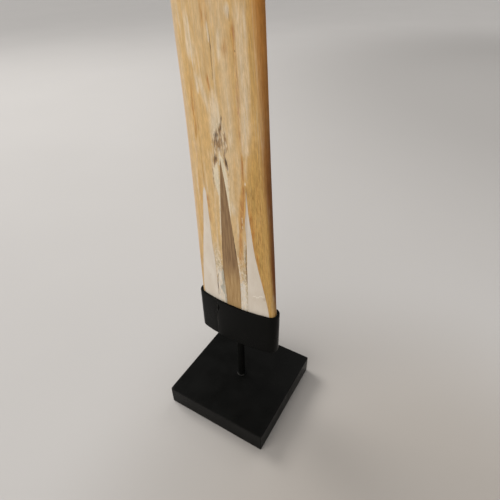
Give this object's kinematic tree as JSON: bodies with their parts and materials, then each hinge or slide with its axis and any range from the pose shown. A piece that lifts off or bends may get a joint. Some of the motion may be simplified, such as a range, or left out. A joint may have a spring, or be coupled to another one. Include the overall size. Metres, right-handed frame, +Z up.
{
  "type": "didgeridoo",
  "caption": "Didgeridoo with a flat oval bell and a beeswax mouthpiece, standing in a black steel socket on a post and a square base.",
  "frame": {"origin": "middle of the base's underside, on the surface that it stands on", "axes": "+Z up, +X along the bell's long axis, -Y towards the front"},
  "size_m": [0.15, 0.15, 1.256],
  "materials": {
    "black_steel": "satin black paint over steel, faintly orange-peeled, worn at the edges",
    "black_weld": "ground weld under the same black paint",
    "screw_steel": "black oxide",
    "felt": "black wool felt",
    "pale_wood": "smooth, thinly sealed, straw yellow with cream and ochre streaks",
    "heartwood": "smooth, thinly sealed, grey-brown",
    "filler": "matt warm white filler, sanded flush",
    "beeswax": "satin, hand-moulded beeswax"
  },
  "bodies": {
    "stand": {"base_plate": "black_steel", "base_felt": "felt", "post": "black_steel", "post_foot_ring": "black_steel", "post_screw": "screw_steel", "post_weld": "black_weld", "socket_floor": "black_steel", "socket_strip": "black_steel", "strip_weld": "black_weld", "socket_liner": "felt", "floor_felt": "felt"},
    "instrument": {"tube_bell_front": "pale_wood", "tube_bell_back": "pale_wood", "tube_lower_front": "pale_wood", "tube_lower_back": "pale_wood", "tube_upper_front": "pale_wood", "tube_upper_back": "pale_wood", "tube_mouth_front": "pale_wood", "tube_mouth_back": "pale_wood", "heartwood_wedge": "heartwood", "filler_left": "filler", "filler_right": "filler", "mouthpiece_ring": "beeswax"}
  },
  "joints": [
    {"name": "lift_out", "type": "slide", "parent": "stand", "child": "instrument", "axis": [0, 0, 1], "range_m": [0, 0.1]}
  ]
}
